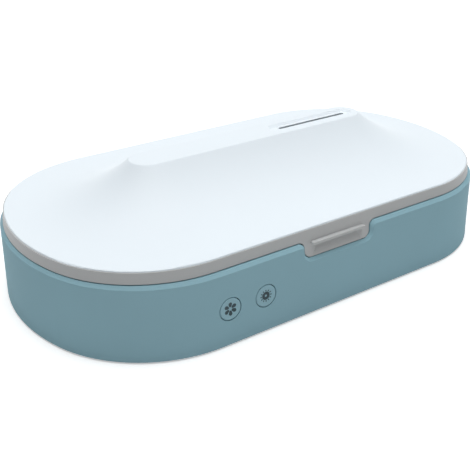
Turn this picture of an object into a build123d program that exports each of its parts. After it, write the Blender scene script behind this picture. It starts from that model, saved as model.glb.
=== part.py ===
"""UV sanitizer box for phones: a moulded base with a mirrored chamber, and a hinged lid with a raised ridge.

Millimetres. X runs along the box, -Y is the front with the buttons and the finger tab, +Z is up.
The origin is on the table, under the middle of the box. The box rests on its rubber feet.
"""

import os
from math import asin, atan2, cos, degrees, radians, sin, sqrt

from build123d import *

# ---------------------------------------------------------------- outline of the box, seen from above
case_length = 220.0  # at the top of the base's straight wall
case_width = 124.0
tip_radius = 79.4  # large arc at each end
corner_radius = 52.3  # arcs between the ends and the long sides

# ---------------------------------------------------------------- heights
foot_proud = 0.8  # the feet stand below the base
wall_height = 29.45  # the base's straight wall
rim_chamfer = 1.15
lid_gap = 0.4  # parting line between base and lid
band_height = 4.2  # grey band round the lid
lid_edge = 0.6  # upright edge of the white shell, above the band
ridge_rise = 17.5  # flat top of the ridge above the brim

# ---------------------------------------------------------------- base shell
flare = 1.2  # the wall leans out by this much towards the table
base_wall = 2.2
seat_inset = 4.6  # from the outline to the pocket that takes the tray's flange
seat_drop = 0.7  # the flange's top lies below the rim
ledge_width = 1.8
ledge_thickness = 1.5
backing_wall = 1.7  # behind the notch and the hinge pockets

# ---------------------------------------------------------------- lid
band_inset = 1.9  # of the band's lower edge, from the outline
band_lean = 0.6  # the band leans in by this much on its way up
band_wall = 3.1
flange_inset = 14.0  # opening in the lid frame's flange
frame_flange = 1.5
shell_step = 0.4  # the shell's edge lies inside the band's upper edge
shell_wall = 2.0
shell_edge_radius = 0.5
shell_rib = 1.2  # rib under the shell that fits inside the band
shell_rib_gap = 0.2
shell_rib_drop = 2.4  # its lower edge, below the band's top
lid_end_reach = 0.7  # the lid reaches this much further at each end than at the sides
ridge_half_length = 59.2
ridge_x = 1.4  # middle of the ridge
ridge_half_width = 7.7
ridge_run = 46.0  # from the ridge's flat top out to where the lid is level
ridge_edge_radius = 0.8

# ---------------------------------------------------------------- scent slot in the ridge
slot_length = 37.8
slot_width = 1.8
slot_x = 35.0
scoop_length = 46.6  # shallow scoop round the slot
scoop_width = 7.6
scoop_x = 34.3
scoop_depth = 0.9
scoop_slope = 60.0  # degrees from upright

# ---------------------------------------------------------------- finger tab and the notch it drops into
tab_half_width = 16.5
tab_drop = 6.9
tab_corner = 3.0
tab_back = 3.35  # of the tab's inner face, from the outline
tab_gap = 0.35
lip_half_length = 13.3
lip_thickness = 1.2
lip_reach = 1.8
lip_drop = 1.3  # middle of the lip, below the band's lower edge
lip_edge = 0.4
finger_scoop = 1.2  # depth of the hollow under the lip
scoop_run = 3.5  # the hollow slopes up to the tab's face over this length at each end

# ---------------------------------------------------------------- hinge
hinge_inset = 1.2  # of the axis, from the outline
hinge_drop = 2.1  # of the axis, below the rim
barrel_radius = 2.0
barrel_gap = 0.4
pin_radius = 0.9
pin_running_gap = 0.06
pin_fixed_gap = 0.02
hinge_x = 38.0
knuckle_length = 16.0
lug_length = 5.5
lug_gap = 0.3

# ---------------------------------------------------------------- chamber tray
tray_gap = 0.2
tray_flange = 1.5
chamber_inset = 12.5  # of the chamber's mouth, from the outline
chamber_depth = 18.7
tray_wall = 1.3
tray_taper = 10.0  # degrees
floor_radius = 5.0
trough_end = 32.0  # from the outline's end to the trough
trough_width = 13.0
trough_depth = 5.4
trough_corner = 2.5

# ---------------------------------------------------------------- lamps, lamp holders and phone rests
lamp_radius = 2.3
lamp_wall = 0.5
lamp_fit = 0.05
lower_lamp_end = 6.0  # from the trough's end to the tube
lid_lamp_end = 9.0  # from the reflector's ridge end to the tube
holder_length = 8.0
holder_width = 9.0
holder_grip = 4.0  # length of tube inside a holder
lower_lamp_lift = 2.7  # of the tube's axis, above the trough's floor
lower_holder_height = 5.2
lid_lamp_drop = 4.2  # of the tube's axis, below the reflector
lid_holder_height = 7.0
rest_height = 4.0
rest_width = 3.0
rest_length = 70.0
rest_pitch = 40.0
rest_count = 4
rest_edge = 0.8

# ---------------------------------------------------------------- lid reflector and scent cup
reflector_inset = 11.7
reflector_wall = 1.0
reflector_end = 2.0  # the reflector's ridge ends inside the shell's by this much
reflector_side = 1.2
reflector_run = 26.0
cup_side = 1.7  # from the ridge's edge to the cup
cup_depth = 5.0
cup_wall = 1.0
cup_clearance = 0.3  # over the reflector
cup_end_room = 3.0
pad_gap = 0.3
pad_height = 2.5

# ---------------------------------------------------------------- seal and magnets
seal_inset = 5.2
seal_width = 1.5
seal_height = 1.2
seal_sunk = 0.5
magnet_radius = 2.2
magnet_height = 1.1
magnet_x = 40.0
magnet_inset = 9.0
magnet_fit = 0.05

# ---------------------------------------------------------------- buttons and their board
button_radius = 4.5
button_gap = 0.3
button_proud = 0.1
button_dish = 0.3  # depth of the hollow for the fingertip
button_dish_radius = 3.8
button_end_inset = 3.9  # from the end of the front's flat side to the flower button's axis
button_pitch = 16.0
button_height = 15.0  # above the base's lower edge
button_edge = 0.4
button_travel = 0.6
button_seat_gap = 0.1
button_flange_radius = 5.9
button_flange = 1.0
stem_radius = 1.7
stem_length = 1.8
switch_size = 6.0
switch_depth = 3.5
plunger_radius = 1.6
plunger_gap = 0.1
plunger_proud = 1.2
plunger_sunk = 1.0
button_board_thickness = 1.2
button_board_below = 6.5  # the board's edges, from the buttons' axis
button_board_above = 9.5
button_board_end = 8.0  # from a button's axis to the rib
board_rib = 2.4
board_groove = 1.2
board_fit = 0.1
sensor_width = 4.0
sensor_height = 3.0
sensor_depth = 1.5
sensor_rise = 7.0  # above the buttons' axis

# ---------------------------------------------------------------- base plate, feet and screws
plate_gap = 0.25
plate_thickness = 2.0
foot_radius = 5.0
foot_height = 1.6
foot_x = 74.0
foot_y = 36.0
foot_fit = 0.1
foot_edge = 0.3
post_radius = 3.0
post_inset = 3.15  # from the outline's corner arcs to a post's axis
post_turn = 73.3  # degrees, direction of a post from its corner arc's centre
end_post_inset = 4.0
boss_x = 60.0
boss_y = 30.0
screw_radius = 1.0
screw_fit = 0.05
screw_clear = 0.2
screw_head_radius = 1.9
screw_head_height = 1.2
screw_length = 8.0
screw_tip_room = 0.5
lid_screw_inset = 9.05  # from the outline's corner arcs
lid_screw_turn = 84.5  # degrees, direction of a screw from its corner arc's centre
lid_screw_end_inset = 9.0
lid_screw_length = 2.4
lid_screw_head = 0.8
lid_boss_radius = 2.4

# ---------------------------------------------------------------- main board
board_length = 96.0
board_front = 13.0  # Y of the board's front edge, behind the lamp trough
board_thickness = 1.6
board_lift = 2.2  # above the base plate
board_back_inset = 5.0  # of the board's rear edge, from the outline
board_hole_inset = 4.0
standoff_radius = 2.4
board_screw_length = 3.4
board_screw_head_radius = 1.7
board_screw_head = 1.0
usb_width = 8.94
usb_height = 3.26
usb_depth = 7.3
usb_fit = 0.2
usb_sheet = 0.35
usb_recess = 0.4
usb_tongue_width = 6.7
usb_tongue_thickness = 0.7
usb_tongue_length = 4.6
usb_back = 0.8
transformer_core = (14.0, 12.0, 3.4)
transformer_place = (-26.0, 11.0)  # Y from the board's front edge
transformer_slot = 1.6
capacitor_radius = 1.7
capacitor_length = 9.0
capacitor_places = [(24.0, 11.0), (24.0, 17.0)]  # Y from the board's rear edge
chip_size = (7.0, 7.0, 1.0)
chip_place = (6.0, 15.0)  # Y from the board's front edge
plug_size = (6.0, 5.0, 3.2)
plug_places = [(-41.0, 21.0), (-41.0, 14.0), (-27.0, 7.0)]  # Y from the board's rear edge

# ---------------------------------------------------------------- places worked out from the sizes above
base_bottom = foot_proud
rim_z = base_bottom + wall_height + rim_chamfer
frame_bottom = rim_z + lid_gap
frame_top = frame_bottom + band_height
brim_z = frame_top + lid_edge
ridge_top = brim_z + ridge_rise
flange_top = frame_bottom + frame_flange
shell_inset = band_inset + band_lean + shell_step
plate_top = base_bottom + plate_thickness
tray_top = rim_z - seat_drop
seat_z = tray_top - tray_flange
ledge_z = seat_z - ledge_thickness
chamber_floor = tray_top - chamber_depth
floor_under = chamber_floor - tray_wall
trough_floor = chamber_floor - trough_depth
board_z = plate_top + board_lift
board_top = board_z + board_thickness
wall_lean = atan2(flare, wall_height)
draft = degrees(wall_lean)
notch_back = tab_back + tab_gap
notch_bottom = frame_bottom - tab_drop - tab_gap

tip_centre_x = case_length / 2 - tip_radius
arc_step = tip_radius - corner_radius
corner_centre_y = case_width / 2 - corner_radius
corner_centre_x = tip_centre_x + sqrt(arc_step**2 - corner_centre_y**2)
arc_meet = degrees(asin(corner_centre_y / arc_step))  # direction in which end arc and corner arc meet

hinge_y = case_width / 2 - hinge_inset
hinge_z = rim_z - hinge_drop
pocket_floor = hinge_z - barrel_radius - barrel_gap
pocket_length = knuckle_length + 2 * lug_gap
backing_y = case_width / 2 - notch_back - backing_wall

cup_top = ridge_top - shell_wall
reflector_top = cup_top - cup_depth - cup_clearance
slot_end = slot_length / 2 + cup_end_room

button_x = (button_end_inset - corner_centre_x, button_end_inset + button_pitch - corner_centre_x)
button_flange_depth = base_wall + button_seat_gap
stem_depth = button_flange_depth + button_flange
plunger_depth = stem_depth + stem_length
dish_ball = (button_dish_radius**2 + button_dish**2) / (2 * button_dish)  # radius of the dish's surface
switch_front = plunger_depth + plunger_proud
switch_bore = plunger_sunk + button_travel + plunger_gap
button_board_front = switch_front + switch_depth
button_middle = sum(button_x) / 2
rib_half_span = button_pitch / 2 + button_board_end
button_board_height = button_board_above + button_board_below
button_board_middle = (button_board_above - button_board_below) / 2

usb_z = board_top + usb_height / 2
usb_mouth_y = case_width / 2 + flare * (base_bottom + wall_height - usb_z) / wall_height - usb_recess

trough_length = case_length - 2 * trough_end
lower_lamp_length = trough_length - 2 * lower_lamp_end
reflector_half_length = ridge_half_length - reflector_end
reflector_half_width = ridge_half_width - reflector_side
lid_lamp_length = 2 * (reflector_half_length - lid_lamp_end)
cup_half_width = ridge_half_width - cup_side

end_post_x = case_length / 2 - end_post_inset
lid_screw_end = case_length / 2 - lid_screw_end_inset
boss_points = [(x, y) for x in (-boss_x, boss_x) for y in (-boss_y, boss_y)]
board_back = case_width / 2 - board_back_inset
board_width = board_back - board_front
board_middle_y = (board_back + board_front) / 2
board_hole_x = board_length / 2 - board_hole_inset
board_hole_y = board_width / 2 - board_hole_inset
board_holes = [(x, board_middle_y + y) for x in (-board_hole_x, board_hole_x) for y in (-board_hole_y, board_hole_y)]
magnet_points = [(x, magnet_inset - case_width / 2) for x in (-magnet_x, magnet_x)]
foot_points = [(x, y) for x in (-foot_x, foot_x) for y in (-foot_y, foot_y)]


def case_outline(inset, end_reach=0.0):
    """The box's outline, moved in by inset: two long sides, four corner arcs and two flatter end arcs.

    end_reach moves each end out, by lengthening the sides.
    """
    corner_turn = 90 - arc_meet
    side_end = corner_centre_x + end_reach
    with BuildSketch(Plane.XY) as outline:
        with BuildLine():
            for side in (-1, 1):
                y = side * (case_width / 2 - inset)
                Line((-side_end, y), (side_end, y))
            for end, side, start in ((1, 1, arc_meet), (-1, 1, 90), (-1, -1, 180 + arc_meet), (1, -1, 270)):
                centre = (end * side_end, side * corner_centre_y)
                CenterArc(centre, corner_radius - inset, start, corner_turn)
            for end, start in ((1, -arc_meet), (-1, 180 - arc_meet)):
                CenterArc((end * (tip_centre_x + end_reach), 0), tip_radius - inset, start, 2 * arc_meet)
        make_face()
    return outline.sketch


def corner_points(inset, turn):
    """Four points, inset from the outline's corner arcs, in the direction turn from each arc's centre."""
    x = corner_centre_x + (corner_radius - inset) * cos(radians(turn))
    y = corner_centre_y + (corner_radius - inset) * sin(radians(turn))
    return [(-x, -y), (-x, y), (x, -y), (x, y)]


post_points = corner_points(post_inset, post_turn) + [(-end_post_x, 0), (end_post_x, 0)]
base_screw_points = post_points + boss_points
lid_screw_points = corner_points(lid_screw_inset, lid_screw_turn) + [(-lid_screw_end, 0), (lid_screw_end, 0)]


def outline_slab(inset, low, high, taper=0.0, end_reach=0.0):
    """A slab of the box's outline between two heights. With a taper it narrows on the way up."""
    with BuildPart() as slab:
        with BuildSketch(Plane.XY.offset(low)):
            add(case_outline(inset, end_reach))
        extrude(amount=high - low, taper=taper)
    return slab.part


def hanging_basin(inset, top, depth, corner):
    """A basin of the box's outline that narrows on the way down and is rounded round its floor."""
    with BuildPart() as basin:
        with BuildSketch(Plane(origin=(0, 0, top), x_dir=(1, 0, 0), z_dir=(0, 0, -1))):
            add(case_outline(inset))
        extrude(amount=depth, taper=tray_taper)
        fillet(basin.faces().sort_by(Axis.Z)[0].edges(), corner)
    return basin.part


def swept_ridge(half_length, half_width, top, level, run, drop, bottom):
    """Solid under a ridge whose sides sweep down in one arc to a level brim, along it and round its ends.

    drop lowers the whole surface along its normal, which gives the inner side of a wall.
    """
    rise = top - level
    radius = (run**2 + rise**2) / (2 * rise)
    straight = half_length - half_width
    foot = half_width + run
    reach = foot + half_length
    inner_radius = radius + drop
    edge = foot - sqrt(inner_radius**2 - (radius - rise + drop) ** 2)
    half_turn = asin((foot - edge) / inner_radius) / 2
    midway = (foot - inner_radius * sin(half_turn), level + radius - inner_radius * cos(half_turn))
    with BuildPart() as ridge:
        with BuildSketch(Plane.YZ.offset(straight)) as section:
            with BuildLine():
                Polyline((foot, level - drop), (reach, level - drop), (reach, bottom), (0, bottom))
                Polyline((0, bottom), (0, top - drop), (edge, top - drop))
                ThreePointArc((edge, top - drop), midway, (foot, level - drop))
            make_face()
            if drop == 0:
                fillet(section.vertices().sort_by_distance((edge, top))[0], ridge_edge_radius)
        revolve(axis=Axis((straight, 0, 0), (0, 0, 1)), revolution_arc=-180)
        extrude(section.sketch, amount=-straight)
        mirror(about=Plane.YZ)
        mirror(about=Plane.XZ)
    return ridge.part


def lid_form(inset, drop, bottom):
    """The lid's outer form, or its inner side when drop is the wall, cut to the box's outline."""
    with BuildPart() as form:
        with Locations((ridge_x, 0)):
            add(swept_ridge(ridge_half_length, ridge_half_width, ridge_top, brim_z, ridge_run, drop, bottom))
        add(outline_slab(inset, bottom, ridge_top + 1, end_reach=lid_end_reach), mode=Mode.INTERSECT)
    return form.part


def front_plane(depth):
    """Plane parallel to the leaning front wall, depth inside its outer face, level with the buttons."""
    wall_y = case_width / 2 + flare * (wall_height - button_height) / wall_height
    y = -wall_y + depth * cos(wall_lean)
    z = base_bottom + button_height - depth * sin(wall_lean)
    return Plane(origin=(0, y, z), x_dir=(1, 0, 0), z_dir=(0, -cos(wall_lean), sin(wall_lean)))


def rods(points, radius, low, high):
    """Upright round rods at the given points, one solid each."""
    with BuildPart() as group:
        with BuildSketch(Plane.XY.offset(low)):
            with Locations(*points):
                Circle(radius)
        extrude(amount=high - low)
    return group.part


os.makedirs("parts", exist_ok=True)

# ---------------------------------------------------------------- base shell
# The core is the space inside the base. Backing walls, screw posts and board ribs are left out of it.
with BuildPart() as base_core:
    add(outline_slab(base_wall - flare, base_bottom, ledge_z, draft))
    with BuildSketch(Plane.XY.offset(notch_bottom - backing_wall)):
        with Locations((0, -backing_y)):
            Rectangle(2 * (tab_half_width + backing_wall), case_width, align=(Align.CENTER, Align.MAX))
    extrude(amount=case_width, mode=Mode.SUBTRACT)
    with BuildSketch(Plane.XY.offset(pocket_floor - backing_wall)):
        with Locations((-hinge_x, backing_y), (hinge_x, backing_y)):
            Rectangle(
                pocket_length + 2 * (lug_length + backing_wall),
                case_width,
                align=(Align.CENTER, Align.MIN),
            )
    extrude(amount=case_width, mode=Mode.SUBTRACT)
    add(rods(post_points, post_radius, plate_top, ledge_z), mode=Mode.SUBTRACT)
    with BuildSketch(front_plane(button_board_front + button_board_thickness + board_rib / 2)):
        for end in (-1, 1):
            with Locations((button_middle + end * (rib_half_span + board_rib / 2), button_board_middle)):
                Rectangle(board_rib, button_board_height)
    extrude(amount=button_board_front + button_board_thickness, mode=Mode.SUBTRACT)

with BuildPart() as base_shell:
    with BuildSketch(Plane.XY.offset(base_bottom)):
        add(case_outline(-flare))
    extrude(amount=rim_z - base_bottom + lid_gap, taper=draft)
    # the front is trimmed to the rim and to the notch for the finger tab in one cut
    with BuildSketch(Plane.XZ.offset(case_width / 2 - notch_back)) as front_trim:
        with BuildLine():
            notch_half = tab_half_width + tab_gap
            Polyline(
                (-case_length / 2, rim_z + tab_drop),
                (-case_length / 2, rim_z),
                (-notch_half, rim_z),
                (-notch_half, notch_bottom),
                (notch_half, notch_bottom),
                (notch_half, rim_z),
                (case_length / 2, rim_z),
                (case_length / 2, rim_z + tab_drop),
                close=True,
            )
        make_face()
        for x in (-notch_half, notch_half):
            fillet(front_trim.vertices().sort_by_distance((x, rim_z))[0], tab_corner - tab_gap)
            fillet(front_trim.vertices().sort_by_distance((x, notch_bottom))[0], tab_corner + tab_gap)
    extrude(amount=case_width / 2, mode=Mode.SUBTRACT)
    with BuildSketch(Plane.XY.offset(rim_z)):
        with Locations((0, notch_back - case_width / 2)):
            Rectangle(2 * case_length, 2 * case_width, align=(Align.CENTER, Align.MIN))
    extrude(amount=tab_drop, mode=Mode.SUBTRACT)
    outer_faces = base_shell.faces().filter_by(
        lambda face: abs(face.normal_at().Z) < 0.5 and face.area > case_width * 5
    )
    rim_edges = outer_faces.edges().filter_by(lambda edge: edge.bounding_box().min.Z > base_bottom + 1)
    chamfer(rim_edges, rim_chamfer)
    # hollow, ledge and pocket for the tray's flange
    add(base_core.part, mode=Mode.SUBTRACT)
    add(outline_slab(seat_inset + ledge_width, ledge_z - 1, seat_z), mode=Mode.SUBTRACT)
    add(outline_slab(seat_inset, seat_z, rim_z + 1), mode=Mode.SUBTRACT)
    # hinge pockets, with round lugs on both sides of each
    with BuildSketch(Plane.XY.offset(pocket_floor)):
        with Locations((-hinge_x, hinge_y), (hinge_x, hinge_y)):
            Rectangle(pocket_length, 2 * (barrel_radius + barrel_gap))
    extrude(amount=case_width, mode=Mode.SUBTRACT)
    for hinge_side in (-hinge_x, hinge_x):
        for lug_side in (-1, 1):
            lug_x = hinge_side + lug_side * (pocket_length + lug_length) / 2
            with BuildSketch(Plane.YZ.offset(lug_x - lug_length / 2)):
                with Locations((hinge_y, hinge_z)):
                    Circle(barrel_radius)
            extrude(amount=lug_length)
        with BuildSketch(Plane.YZ.offset(hinge_side - pocket_length / 2 - lug_length)):
            with Locations((hinge_y, hinge_z)):
                Circle(pin_radius + pin_fixed_gap)
        extrude(amount=pocket_length + 2 * lug_length, mode=Mode.SUBTRACT)
    # button holes, slots for the button board, socket hole and screw holes
    with BuildSketch(front_plane(base_wall + button_flange)):
        with Locations(*[(x, 0) for x in button_x]):
            Circle(button_radius + button_gap)
    extrude(amount=2 * base_wall, mode=Mode.SUBTRACT)
    with BuildSketch(front_plane(button_board_front + button_board_thickness + board_fit)):
        with Locations((button_middle, button_board_middle - board_rib / 2)):
            Rectangle(
                2 * (rib_half_span + board_groove + board_fit),
                button_board_height - board_rib + 2 * board_fit,
            )
    extrude(amount=button_board_thickness + 2 * board_fit, mode=Mode.SUBTRACT)
    with BuildSketch(Plane.XZ.offset(-backing_y)):
        with Locations((0, usb_z)):
            SlotOverall(usb_width + 2 * usb_fit, usb_height + 2 * usb_fit)
    extrude(amount=-case_width / 2, mode=Mode.SUBTRACT)
    add(
        rods(post_points, screw_radius + screw_fit, plate_top, plate_top + screw_length + screw_tip_room),
        mode=Mode.SUBTRACT,
    )

base_shell.part.label = "base_shell"
export_step(base_shell.part, "parts/base_shell.step")

# ---------------------------------------------------------------- base plate, with standoffs for the main board
with BuildPart() as base_plate:
    add(outline_slab(base_wall - flare + plate_gap, base_bottom, plate_top))
    add(rods(board_holes, standoff_radius, plate_top, board_z))
    add(
        rods(foot_points, foot_radius + foot_fit, base_bottom, foot_height),
        mode=Mode.SUBTRACT,
    )
    add(
        rods(base_screw_points, screw_head_radius + screw_clear, base_bottom, base_bottom + screw_head_height),
        mode=Mode.SUBTRACT,
    )
    add(
        rods(base_screw_points, screw_radius + screw_clear, base_bottom, plate_top),
        mode=Mode.SUBTRACT,
    )
    add(
        rods(board_holes, screw_radius + screw_fit, base_bottom + screw_tip_room, board_z),
        mode=Mode.SUBTRACT,
    )

base_plate.part.label = "base_plate"
export_step(base_plate.part, "parts/base_plate.step")

# ---------------------------------------------------------------- rubber feet, glued into the plate's recesses
with BuildPart() as feet:
    add(rods(foot_points, foot_radius, 0, foot_height))
    chamfer(feet.faces().group_by(Axis.Z)[0].edges(), foot_edge)

feet.part.label = "rubber_feet"
export_step(feet.part, "parts/rubber_feet.step")

# ---------------------------------------------------------------- base screws: six into the posts, four into the tray
with BuildPart() as base_screws:
    add(rods(base_screw_points, screw_head_radius, base_bottom, base_bottom + screw_head_height))
    add(
        rods(
            base_screw_points,
            screw_radius,
            base_bottom + screw_head_height,
            base_bottom + screw_head_height + screw_length,
        )
    )

base_screws.part.label = "base_screws"
export_step(base_screws.part, "parts/base_screws.step")

# ---------------------------------------------------------------- chamber tray: mirrored basin with a lamp trough
with BuildPart() as chamber_tray:
    add(outline_slab(seat_inset + tray_gap, seat_z, tray_top))
    add(hanging_basin(chamber_inset - tray_wall, seat_z, seat_z - floor_under, floor_radius + tray_wall))
    with BuildSketch(Plane.XY.offset(trough_floor - tray_wall)):
        RectangleRounded(
            trough_length + 2 * tray_wall,
            trough_width + 2 * tray_wall,
            trough_corner + tray_wall,
        )
    extrude(amount=trough_depth + tray_wall)
    add(rods(boss_points, post_radius, plate_top, chamber_floor))
    add(hanging_basin(chamber_inset, tray_top, chamber_depth, floor_radius), mode=Mode.SUBTRACT)
    with BuildSketch(Plane.XY.offset(trough_floor)):
        RectangleRounded(trough_length, trough_width, trough_corner)
    extrude(amount=trough_depth + tray_wall, mode=Mode.SUBTRACT)
    add(
        rods(boss_points, screw_radius + screw_fit, plate_top, plate_top + screw_length),
        mode=Mode.SUBTRACT,
    )
    add(
        rods(magnet_points, magnet_radius + magnet_fit, seat_z, seat_z + magnet_height),
        mode=Mode.SUBTRACT,
    )

chamber_tray.part.label = "chamber_tray"
export_step(chamber_tray.part, "parts/chamber_tray.step")

# ---------------------------------------------------------------- magnets that hold the lid shut
with BuildPart() as base_magnets:
    add(rods(magnet_points, magnet_radius, seat_z, seat_z + magnet_height))

base_magnets.part.label = "base_magnets"
export_step(base_magnets.part, "parts/base_magnets.step")

with BuildPart() as lid_magnets:
    add(rods(magnet_points, magnet_radius, flange_top - magnet_height, flange_top))

lid_magnets.part.label = "lid_magnets"
export_step(lid_magnets.part, "parts/lid_magnets.step")


# ---------------------------------------------------------------- UV lamps: quartz tubes, closed at both ends
def lamp_tube(length, z):
    """A closed glass tube along X, with round ends."""
    with BuildPart() as tube:
        with BuildSketch(Plane.XZ) as half_section:
            with Locations((0, z)):
                SlotOverall(length, 2 * lamp_radius)
                SlotOverall(length - 2 * lamp_wall, 2 * (lamp_radius - lamp_wall), mode=Mode.SUBTRACT)
            with Locations((0, z)):
                Rectangle(length, lamp_radius, align=(Align.CENTER, Align.MAX), mode=Mode.SUBTRACT)
        revolve(half_section.sketch, axis=Axis((0, 0, z), (1, 0, 0)))
    return tube.part


def lamp_holders(lamp_length, lamp_z, low, height):
    """A pair of blocks that grip a lamp's ends. Each has a round socket for the tube."""
    with BuildPart() as pair:
        for end in (-1, 1):
            middle_x = end * (lamp_length / 2 - holder_grip + holder_length / 2)
            with BuildSketch(Plane.XY.offset(low)):
                with Locations((middle_x, 0)):
                    RectangleRounded(holder_length, holder_width, lamp_wall)
            extrude(amount=height)
        with BuildSketch(Plane.YZ.offset(-lamp_length / 2)):
            with Locations((0, lamp_z)):
                Circle(lamp_radius + lamp_fit)
        extrude(amount=lamp_length, mode=Mode.SUBTRACT)
    return pair.part


lower_lamp_z = trough_floor + lower_lamp_lift
with BuildPart() as lower_lamp:
    add(lamp_tube(lower_lamp_length, lower_lamp_z))

lower_lamp.part.label = "lower_uv_lamp"
export_step(lower_lamp.part, "parts/lower_uv_lamp.step")

with BuildPart() as lower_holders:
    add(lamp_holders(lower_lamp_length, lower_lamp_z, trough_floor, lower_holder_height))

lower_holders.part.label = "lower_lamp_holders"
export_step(lower_holders.part, "parts/lower_lamp_holders.step")

# ---------------------------------------------------------------- phone rests: clear ribs across the chamber floor
with BuildPart() as phone_rests:
    with BuildSketch(Plane.XY.offset(chamber_floor)):
        with GridLocations(rest_pitch, 1, rest_count, 1):
            RectangleRounded(rest_width, rest_length, rest_width / 2 - rest_edge / 4)
    extrude(amount=rest_height)
    fillet(phone_rests.faces().group_by(Axis.Z)[-1].edges(), rest_edge)

phone_rests.part.label = "phone_rests"
export_step(phone_rests.part, "parts/phone_rests.step")

# ---------------------------------------------------------------- hinge pins
with BuildPart() as hinge_pins:
    for pin_side in (-hinge_x, hinge_x):
        with BuildSketch(Plane.YZ.offset(pin_side - pocket_length / 2 - lug_length)):
            with Locations((hinge_y, hinge_z)):
                Circle(pin_radius)
        extrude(amount=pocket_length + 2 * lug_length)

hinge_pins.part.label = "hinge_pins"
export_step(hinge_pins.part, "parts/hinge_pins.step")

# ---------------------------------------------------------------- lid shell: the white top with its ridge
rib_inset = band_inset + band_wall + shell_rib_gap
with BuildPart() as lid_bosses:
    add(rods(lid_screw_points, lid_boss_radius, flange_top, ridge_top))
    add(lid_form(shell_inset, shell_wall / 2, flange_top), mode=Mode.INTERSECT)

with BuildPart() as lid_shell:
    add(lid_form(shell_inset, 0, frame_top - shell_rib_drop))
    edge_faces = lid_shell.faces().filter_by(
        lambda face: abs(face.normal_at().Z) < 0.1 and face.center().Z < brim_z
    )
    fillet(edge_faces.edges().group_by(Axis.Z)[-1], shell_edge_radius)
    # the edge rests on the band, and a rib inside it drops into the band
    with BuildSketch(Plane.XY.offset(frame_top)):
        add(case_outline(0, lid_end_reach))
        add(case_outline(rib_inset), mode=Mode.SUBTRACT)
    extrude(amount=-2 * shell_rib_drop, mode=Mode.SUBTRACT)
    add(lid_form(rib_inset + shell_rib, shell_wall, flange_top), mode=Mode.SUBTRACT)
    # screw bosses, under the brim
    add(lid_bosses.part)
    add(
        rods(
            lid_screw_points,
            screw_radius + screw_fit,
            flange_top,
            flange_top - frame_flange + lid_screw_head + lid_screw_length + screw_clear,
        ),
        mode=Mode.SUBTRACT,
    )
    # shallow scoop and the slot in it
    with BuildSketch(Plane.XY.offset(ridge_top)):
        with Locations((scoop_x, 0)):
            SlotOverall(scoop_length, scoop_width)
    extrude(amount=-scoop_depth, taper=scoop_slope, mode=Mode.SUBTRACT)
    with BuildSketch(Plane.XY.offset(ridge_top)):
        with Locations((slot_x, 0)):
            SlotOverall(slot_length, slot_width)
    extrude(amount=-2 * shell_wall, mode=Mode.SUBTRACT)

lid_shell.part.label = "lid_shell"
export_step(lid_shell.part, "parts/lid_shell.step")

# ---------------------------------------------------------------- finger tab, joined to the lid frame below
band_tilt = atan2(band_lean, band_height)
band_plane = Plane(
    origin=(0, band_inset - case_width / 2, frame_bottom),
    x_dir=(1, 0, 0),
    z_dir=(0, -cos(band_tilt), sin(band_tilt)),
)
lip_z = frame_bottom - lip_drop
# hollow for the fingertip, deepest under the lip and running out at the tab's lower edge and at both ends
hollow_end = lip_half_length - lip_thickness / 2
with BuildPart() as finger_hollow:
    with BuildSketch(Plane.YZ):
        with BuildLine():
            top_y = band_inset - case_width / 2 - lip_drop * band_lean / band_height
            low_y = band_inset - case_width / 2 - tab_drop * band_lean / band_height
            Polyline(
                (top_y + finger_scoop, lip_z),
                (low_y, frame_bottom - tab_drop),
                (low_y - tab_back, frame_bottom - tab_drop),
                (low_y - tab_back, lip_z),
                close=True,
            )
        make_face()
    extrude(amount=hollow_end, both=True)
    with BuildSketch(Plane(band_plane.origin, x_dir=(1, 0, 0), z_dir=(0, sin(band_tilt), cos(band_tilt)))):
        with BuildLine():
            Polyline(
                (-hollow_end, -tab_back),
                (-hollow_end, 0),
                (scoop_run - hollow_end, finger_scoop),
                (hollow_end - scoop_run, finger_scoop),
                (hollow_end, 0),
                (hollow_end, -tab_back),
                close=True,
            )
        make_face()
    extrude(amount=2 * tab_drop, both=True, mode=Mode.INTERSECT)
with BuildPart() as finger_tab:
    with BuildSketch(Plane.XZ.offset(case_width / 2 - tab_back)) as tab_face:
        with BuildLine():
            Polyline(
                (-tab_half_width - tab_corner, flange_top),
                (-tab_half_width - tab_corner, frame_bottom),
                (-tab_half_width, frame_bottom),
                (-tab_half_width, frame_bottom - tab_drop),
                (tab_half_width, frame_bottom - tab_drop),
                (tab_half_width, frame_bottom),
                (tab_half_width + tab_corner, frame_bottom),
                (tab_half_width + tab_corner, flange_top),
                close=True,
            )
        make_face()
        for x in (-tab_half_width, tab_half_width):
            fillet(tab_face.vertices().sort_by_distance((x, frame_bottom))[0], tab_corner - tab_gap / 4)
            fillet(tab_face.vertices().sort_by_distance((x, frame_bottom - tab_drop))[0], tab_corner)
    extrude(amount=tab_back)
    with BuildSketch(band_plane):
        Rectangle(case_width, case_width)
    extrude(amount=case_width, mode=Mode.SUBTRACT)
    add(finger_hollow.part, mode=Mode.SUBTRACT)
    # lip
    with BuildSketch(Plane.XZ.offset(case_width / 2 - tab_back)):
        with Locations((0, lip_z)):
            SlotOverall(2 * lip_half_length, lip_thickness)
    extrude(amount=tab_back - band_inset + lip_reach)
    fillet(finger_tab.faces().sort_by(Axis.Y)[0].edges(), lip_edge)

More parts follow.
